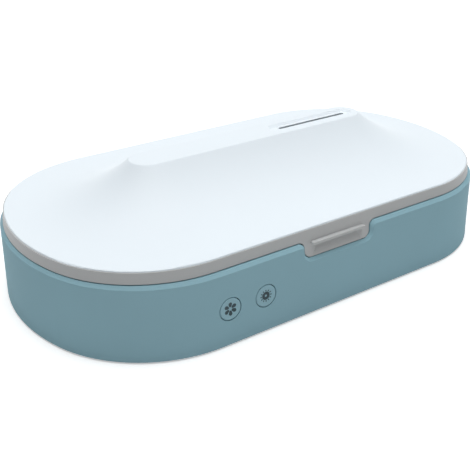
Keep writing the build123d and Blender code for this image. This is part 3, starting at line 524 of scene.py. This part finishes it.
# ------------------------------------------------------------------ printed marks of the buttons
# A flower on the scent button and a sun on the lamp button, pad printed in dark grey ink. The soft pad lays
# the ink into the dish of each button as a film with a soft gloss.
ink_lift = 0.00003
ink_film = 0.00002
wall_lean = radians(2.3333)
mark_height = 0.0158  # above the table
mark_clearance = 0.001  # in front of the button, before the mark is laid on


def print_mark(mark, name, button, body):
    """Stands a flat mark up in front of a button and lays it into the button's dish."""
    low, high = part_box(button)
    mark.rotation_euler = (pi / 2 - wall_lean, 0, 0)
    mark.location = ((low.x + high.x) / 2, low.y - mark_clearance, mark_height)
    settle(mark)
    lay = mark.modifiers.new("lay", "SHRINKWRAP")
    lay.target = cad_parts[button]
    lay.wrap_method = "PROJECT"
    lay.wrap_mode = "ABOVE_SURFACE"
    lay.use_project_y = True
    lay.use_positive_direction = True
    lay.offset = ink_lift
    bpy.ops.object.modifier_apply(modifier=lay.name)
    film = mark.modifiers.new("film", "SOLIDIFY")
    film.thickness = ink_film
    film.offset = -1
    bpy.ops.object.modifier_apply(modifier=film.name)
    return sign_off(mark, name, body, ink)


ink = moulded_plastic("ink", (0.17, 0.26, 0.29), 0.4, clouding=0.1, grain=5200.0, gloss=0.3)

petal_width = 0.00168
petal_length = 0.0021
petal_reach = 0.00172  # from the flower's middle to the petal's
petal_narrowing = 0.8  # of its inner half
start_piece()
bpy.ops.mesh.primitive_circle_add(vertices=20, radius=petal_width / 2, fill_type="TRIFAN")
petal = bpy.context.object
bpy.ops.object.mode_set(mode="EDIT")
bpy.ops.mesh.select_all(action="SELECT")
bpy.ops.mesh.subdivide(number_cuts=1)
bpy.ops.transform.resize(value=(1, petal_length / petal_width, 1))
pick_faces(petal, lambda face: face.calc_center_median().y < 0)
bpy.ops.transform.resize(value=(petal_narrowing, 1, 1), center_override=(0, 0, 0))
bpy.ops.mesh.select_all(action="SELECT")
bpy.ops.transform.translate(value=(0, petal_reach, 0))
bpy.ops.object.mode_set(mode="OBJECT")
flower = copy_to(petal, [((0, 0, 0), (0, 0, k * pi / 3)) for k in range(6)])
print_mark(flower, "flower_mark", "flower_button", "flower_key")

sun_disc_radius = 0.00172
sun_ray_length = 0.0007
sun_ray_width = 0.00044
sun_ray_reach = 0.00224  # from the sun's middle to a ray's
sun_ray_rounding = 0.4  # of the ray's width
sun_disc_rings = (0.75, 0.66, 0.55)  # each ring's size to that of the ring round it
start_piece()
bpy.ops.mesh.primitive_circle_add(vertices=36, radius=sun_disc_radius, fill_type="NOTHING")
sun_disc = bpy.context.object
bpy.ops.object.mode_set(mode="EDIT")
bpy.ops.mesh.select_all(action="SELECT")
for shrink in sun_disc_rings:
    bpy.ops.mesh.extrude_edges_move()
    bpy.ops.transform.resize(value=(shrink, shrink, 1), center_override=(0, 0, 0))
bpy.ops.mesh.select_all(action="SELECT")
bpy.ops.mesh.normals_make_consistent(inside=False)
bpy.ops.object.mode_set(mode="OBJECT")
if sun_disc.data.polygons[0].normal.z < 0:
    bpy.ops.object.mode_set(mode="EDIT")
    bpy.ops.mesh.flip_normals()
    bpy.ops.object.mode_set(mode="OBJECT")
start_piece()
bpy.ops.mesh.primitive_plane_add(size=1)
sun_ray = bpy.context.object
bpy.ops.object.mode_set(mode="EDIT")
bpy.ops.mesh.select_all(action="SELECT")
bpy.ops.transform.resize(value=(sun_ray_width, sun_ray_length, 1))
bpy.ops.mesh.bevel(offset=sun_ray_rounding * sun_ray_width, segments=3, affect="VERTICES")
bpy.ops.mesh.select_all(action="SELECT")
bpy.ops.transform.translate(value=(0, sun_ray_reach, 0))
bpy.ops.object.mode_set(mode="OBJECT")
sun = copy_to(sun_ray, [((0, 0, 0), (0, 0, k * pi / 6)) for k in range(12)])
bpy.ops.object.select_all(action="DESELECT")
sun_disc.select_set(True)
sun.select_set(True)
bpy.context.view_layer.objects.active = sun
bpy.ops.object.join()
print_mark(sun, "sun_mark", "sun_button", "sun_key")

# ------------------------------------------------------------------ chamber tray
# The tray is vacuum-metallised ABS: a mirror coat that throws the ultraviolet light back at the phone. The
# coat is bright, with a faint ripple from the moulding under it.
def mirror_coat_group():
    """The ripple and the thin patches of a metallised coat."""
    group, given, result = new_group(
        "metallised",
        [("Colour", "NodeSocketColor", (0.8, 0.8, 0.8, 1)), ("Roughness", "NodeSocketFloat", 0.1)],
        [("Colour", "NodeSocketColor"), ("Roughness", "NodeSocketFloat"), ("Height", "NodeSocketFloat")],
    )
    nodes, links = group.nodes, group.links
    place = nodes.new("ShaderNodeTexCoord")
    ripple = nodes.new("ShaderNodeTexNoise")
    ripple.inputs["Scale"].default_value = 55
    ripple.inputs["Detail"].default_value = 2
    links.new(place.outputs["Object"], ripple.inputs["Vector"])
    links.new(ripple.outputs["Fac"], result.inputs["Height"])
    hazy = nodes.new("ShaderNodeMath")
    hazy.operation = "MULTIPLY_ADD"
    hazy.inputs[1].default_value = 0.12
    links.new(ripple.outputs["Fac"], hazy.inputs[0])
    links.new(given.outputs["Roughness"], hazy.inputs[2])
    links.new(hazy.outputs[0], result.inputs["Roughness"])
    shade = nodes.new("ShaderNodeMapRange")
    shade.inputs["To Min"].default_value = 0.93
    links.new(ripple.outputs["Fac"], shade.inputs["Value"])
    shaded = nodes.new("ShaderNodeVectorMath")
    shaded.operation = "SCALE"
    links.new(given.outputs["Colour"], shaded.inputs[0])
    links.new(shade.outputs["Result"], shaded.inputs["Scale"])
    links.new(shaded.outputs["Vector"], result.inputs["Colour"])
    return group


mirror_values = {"Colour": linear((0.88, 0.885, 0.895)), "Roughness": 0.07}
mirror_coat, mirror_shader = skin_material("mirror_coat", mirror_coat_group(), mirror_values, 0.12, 0.0004)
mirror_shader.inputs["Metallic"].default_value = 1
coat_node(mirror_coat, "chamber_tray", "lid_reflector")

# ------------------------------------------------------------------ magnets
# Four sintered magnet discs, nickel plated so that they don't rust. Two are pressed into pockets under
# the tray's flange and two into the lid frame, where they meet when the lid is shut.
coat_node(plated_metal("nickel", (0.74, 0.73, 0.7), 0.2), "base_magnets", "lid_magnets")


# ------------------------------------------------------------------ lamps and their holders
# Each lamp is a clear quartz tube, drawn and then sealed at both ends, where the glass is left hazy. Its ends
# sit in white steatite holders, which are screwed down through the tray or the reflector.
def quartz_glass(name, frost_from, frost_to):
    """Clear drawn glass, hazy near both ends. frost_from and frost_to are distances from the middle."""
    glass = bpy.data.materials.new(name)
    glass.use_nodes = True
    nodes, links = glass.node_tree.nodes, glass.node_tree.links
    shader = nodes["Principled BSDF"]
    shader.inputs["Base Color"].default_value = (0.95, 0.97, 0.98, 1)
    shader.inputs["Transmission Weight"].default_value = 1
    shader.inputs["IOR"].default_value = 1.46
    place = nodes.new("ShaderNodeTexCoord")
    along = nodes.new("ShaderNodeSeparateXYZ")
    links.new(place.outputs["Object"], along.inputs["Vector"])
    from_middle = nodes.new("ShaderNodeMath")
    from_middle.operation = "ABSOLUTE"
    links.new(along.outputs["X"], from_middle.inputs[0])
    haze = nodes.new("ShaderNodeMapRange")
    haze.inputs["From Min"].default_value = frost_from
    haze.inputs["From Max"].default_value = frost_to
    haze.inputs["To Min"].default_value = 0.02
    haze.inputs["To Max"].default_value = 0.35
    links.new(from_middle.outputs[0], haze.inputs["Value"])
    links.new(haze.outputs["Result"], shader.inputs["Roughness"])
    draw_lines = nodes.new("ShaderNodeTexNoise")
    draw_lines.inputs["Scale"].default_value = 900
    stretch = nodes.new("ShaderNodeMapping")
    stretch.inputs["Scale"].default_value = (0.02, 1, 1)
    links.new(place.outputs["Object"], stretch.inputs["Vector"])
    links.new(stretch.outputs["Vector"], draw_lines.inputs["Vector"])
    bump = nodes.new("ShaderNodeBump")
    bump.inputs["Strength"].default_value = 0.1
    bump.inputs["Distance"].default_value = 0.00002
    links.new(draw_lines.outputs["Fac"], bump.inputs["Height"])
    links.new(bump.outputs["Normal"], shader.inputs["Normal"])
    return glass


haze_reach = 0.012  # from the tube's end to where its haze begins
sealed_length = 0.004
for lamp_node in ("lower_uv_lamp", "lid_uv_lamp"):
    lamp_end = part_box(lamp_node)[1].x
    coat_node(quartz_glass(lamp_node + "_quartz", lamp_end - haze_reach, lamp_end - sealed_length), lamp_node)

coil_radius = 0.00062
coil_wire_radius = 0.00013
coil_turns = 5
coil_pitch = 0.00042
coil_tilt = 0.12  # radians, the slant of one turn
coil_depth = 0.0085  # from the tube's end to the coil
lead_radius = 0.0002
lead_rounding = 0.3  # of the lead's radius
lead_setback = 0.001  # from the tube's end to the lead's


def lamp_electrodes(lamp_node, body):
    """The tungsten coil at each end of a lamp, with the lead that carries it through the sealed end."""
    low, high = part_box(lamp_node)
    axis_y = (low.y + high.y) / 2
    axis_z = (low.z + high.z) / 2
    start_piece()
    bpy.ops.mesh.primitive_torus_add(
        major_radius=coil_radius, minor_radius=coil_wire_radius, major_segments=24, minor_segments=8
    )
    turns = [((coil_pitch * k, 0, 0), (0, pi / 2 + coil_tilt, 0)) for k in range(coil_turns)]
    coil = copy_to(bpy.context.object, turns)
    lead_start = coil_pitch * (coil_turns - 1)
    lead_length = coil_depth - lead_setback - lead_start
    start_piece()
    bpy.ops.mesh.primitive_cylinder_add(vertices=12, radius=lead_radius, depth=lead_length)
    lead = bpy.context.object
    lead.rotation_euler = (0, pi / 2, 0)
    lead.location = (lead_start + lead_length / 2, 0, -coil_radius)
    settle(lead)
    bpy.ops.object.mode_set(mode="EDIT")
    bpy.ops.mesh.select_mode(type="FACE")
    pick_faces(lead, lambda face: abs(face.normal.x) > 0.9)
    bpy.ops.mesh.region_to_loop()
    bpy.ops.mesh.bevel(offset=lead_rounding * lead_radius, segments=2, affect="EDGES")
    bpy.ops.object.mode_set(mode="OBJECT")
    coil.select_set(True)
    bpy.context.view_layer.objects.active = coil
    bpy.ops.object.join()
    bpy.ops.object.shade_smooth_by_angle(angle=radians(40))
    right = (high.x - coil_depth, axis_y, axis_z)
    left = (low.x + coil_depth, axis_y, axis_z)
    pair = copy_to(coil, [(right, (0, 0, 0)), (left, (0, 0, pi))])
    return sign_off(pair, lamp_node + "_electrodes", body, tungsten)


tungsten = plated_metal("tungsten", (0.5, 0.49, 0.47), 0.34)
lamp_electrodes("lower_uv_lamp", "base")
lamp_electrodes("lid_uv_lamp", "lid")
steatite = moulded_plastic("steatite", (0.9, 0.895, 0.87), 0.55, grain=1400.0, grain_depth=0.00004)
coat_node(steatite, "lower_lamp_holders", "lid_lamp_holders")

# ------------------------------------------------------------------ phone rests
# Four moulded ribs of clear acrylic hold the phone up, so that light reaches under it. They are glued across
# the tray's floor, and a thin line of glue lies under each.
clear_acrylic = bpy.data.materials.new("clear_acrylic")
clear_acrylic.use_nodes = True
acrylic_nodes = clear_acrylic.node_tree.nodes
acrylic_shader = acrylic_nodes["Principled BSDF"]
acrylic_shader.inputs["Base Color"].default_value = (0.96, 0.98, 0.985, 1)
acrylic_shader.inputs["Transmission Weight"].default_value = 1
acrylic_shader.inputs["IOR"].default_value = 1.49
acrylic_place = acrylic_nodes.new("ShaderNodeTexCoord")
acrylic_flow = acrylic_nodes.new("ShaderNodeTexNoise")
acrylic_flow.inputs["Scale"].default_value = 220
acrylic_haze = acrylic_nodes.new("ShaderNodeMapRange")
acrylic_haze.inputs["To Min"].default_value = 0.03
acrylic_haze.inputs["To Max"].default_value = 0.12
clear_acrylic.node_tree.links.new(acrylic_place.outputs["Object"], acrylic_flow.inputs["Vector"])
clear_acrylic.node_tree.links.new(acrylic_flow.outputs["Fac"], acrylic_haze.inputs["Value"])
clear_acrylic.node_tree.links.new(acrylic_haze.outputs["Result"], acrylic_shader.inputs["Roughness"])
glue_line = 0.00006
start_piece()
rests = bpy.data.objects.new("glued_rests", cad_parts["phone_rests"].data.copy())
scene.collection.objects.link(rests)
rests.select_set(True)
bpy.context.view_layer.objects.active = rests
bpy.ops.object.mode_set(mode="EDIT")
bpy.ops.mesh.select_mode(type="FACE")
bpy.ops.mesh.select_all(action="SELECT")
bpy.ops.mesh.remove_doubles(threshold=0.000001)
pick_faces(rests, lambda face: face.normal.z < -0.9)
bpy.ops.transform.translate(value=(0, 0, glue_line))
bpy.ops.object.mode_set(mode="OBJECT")
bpy.ops.object.shade_smooth_by_angle(angle=radians(30))
sign_off(rests, "glued_rests", "base", clear_acrylic)
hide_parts("phone_rests")

# ------------------------------------------------------------------ base plate, feet and base screws
# The bottom is closed by a plate in the same grey blue with a coarser matt grain. Ten zinc-plated screws hold
# it, and four soft rubber discs are glued into its recesses as feet.
plate_blue = (0.53, 0.68, 0.735)
coat_node(
    moulded_plastic("blue_plastic_dull", plate_blue, 0.6, grain=1300.0, grain_depth=0.00006, gloss=0.3), "base_plate"
)
rubber_black = (0.13, 0.13, 0.135)
dark_rubber = moulded_plastic("dark_rubber", rubber_black, 0.72, grain=1800.0, grain_depth=0.00005, gloss=0.25)
coat_node(dark_rubber, "rubber_feet")
base_head_radius = 0.0019
base_head_height = 0.0012
base_screw_turn = 0.4  # radians from one screw's recess to the next one's
base_screw_low, base_screw_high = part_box("base_screws")
base_screw_set = copy_to(
    cross_screw(base_head_radius, base_head_height, base_screw_high.z - base_screw_low.z - base_head_height),
    [(place, (0, 0, base_screw_turn * i)) for i, place in enumerate(head_middles("base_screws", base_screw_low.z))],
)
sign_off(base_screw_set, "cross_base_screws", "base", screw_steel)
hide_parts("base_screws")

# ------------------------------------------------------------------ lid frame and light seal
# The frame of the lid is moulded in mid grey ABS, with the finger tab, its lip and the hinge knuckles in one
# piece. A rubber seal lies in a groove round its underside and keeps the light in.
coat_node(moulded_plastic("grey_plastic", (0.742, 0.75, 0.753), 0.42, gloss=0.35), "lid_frame")
coat_node(dark_rubber, "light_seal")


# ------------------------------------------------------------------ scent cup and scent pad
# Under the slot of the ridge hangs a cup with a pad of pressed felt, which takes a few drops of
# scented oil. Cup and felt are coloured dark grey, which is painted shade that makes the slot look dark.
def felt_group():
    """Pressed wool felt: short fibres that lie all ways, and its soft clouds of darker wool."""
    group, given, result = new_group(
        "pressed_felt",
        [("Colour", "NodeSocketColor", (0.1, 0.1, 0.1, 1))],
        [("Colour", "NodeSocketColor"), ("Roughness", "NodeSocketFloat"), ("Height", "NodeSocketFloat")],
    )
    nodes, links = group.nodes, group.links
    place = nodes.new("ShaderNodeTexCoord")
    fibres = nodes.new("ShaderNodeTexNoise")
    fibres.inputs["Scale"].default_value = 4200
    fibres.inputs["Detail"].default_value = 4
    fibres.inputs["Distortion"].default_value = 1.6
    links.new(place.outputs["Object"], fibres.inputs["Vector"])
    links.new(fibres.outputs["Fac"], result.inputs["Height"])
    shade = nodes.new("ShaderNodeMapRange")
    shade.inputs["To Min"].default_value = 0.6
    shade.inputs["To Max"].default_value = 1.3
    links.new(fibres.outputs["Fac"], shade.inputs["Value"])
    shaded = nodes.new("ShaderNodeVectorMath")
    shaded.operation = "SCALE"
    links.new(given.outputs["Colour"], shaded.inputs[0])
    links.new(shade.outputs["Result"], shaded.inputs["Scale"])
    links.new(shaded.outputs["Vector"], result.inputs["Colour"])
    rough = nodes.new("ShaderNodeMapRange")
    rough.inputs["To Min"].default_value = 0.85
    rough.inputs["To Max"].default_value = 1.0
    links.new(fibres.outputs["Fac"], rough.inputs["Value"])
    links.new(rough.outputs["Result"], result.inputs["Roughness"])
    return group


# The felt's dark grey colour is painted shade for the slot above it.
felt, _ = skin_material("felt", felt_group(), {"Colour": linear((0.2, 0.21, 0.22))}, 0.8, 0.0002)
coat_node(felt, "scent_pad")
# The cup's dark grey colour is painted shade for the slot above it.
coat_node(moulded_plastic("slot_shade_plastic", (0.14, 0.15, 0.16), 0.5), "scent_cup")

# ------------------------------------------------------------------ lid shell and lid screws
# The top is moulded in cool white ABS with a finer, smoother grain than the base. It sweeps up to the flat
# ridge and is held to the frame by six screws from below.
lid_white = (0.925, 0.96, 0.985)
white_plastic = moulded_plastic(
    "white_plastic", lid_white, 0.4, clouding=0.006, grain=3200.0, grain_depth=0.00001, gloss=0.3
)
coat_node(white_plastic, "lid_shell")
lid_head_radius = 0.0019
lid_head_height = 0.0008
lid_screw_turn = 0.7  # radians from one screw's recess to the next one's
lid_screw_low, lid_screw_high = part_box("lid_screws")
lid_screw_set = copy_to(
    cross_screw(lid_head_radius, lid_head_height, lid_screw_high.z - lid_screw_low.z - lid_head_height),
    [(place, (0, 0, lid_screw_turn * i)) for i, place in enumerate(head_middles("lid_screws", lid_screw_low.z))],
)
sign_off(lid_screw_set, "cross_lid_screws", "lid", screw_steel)
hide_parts("lid_screws")
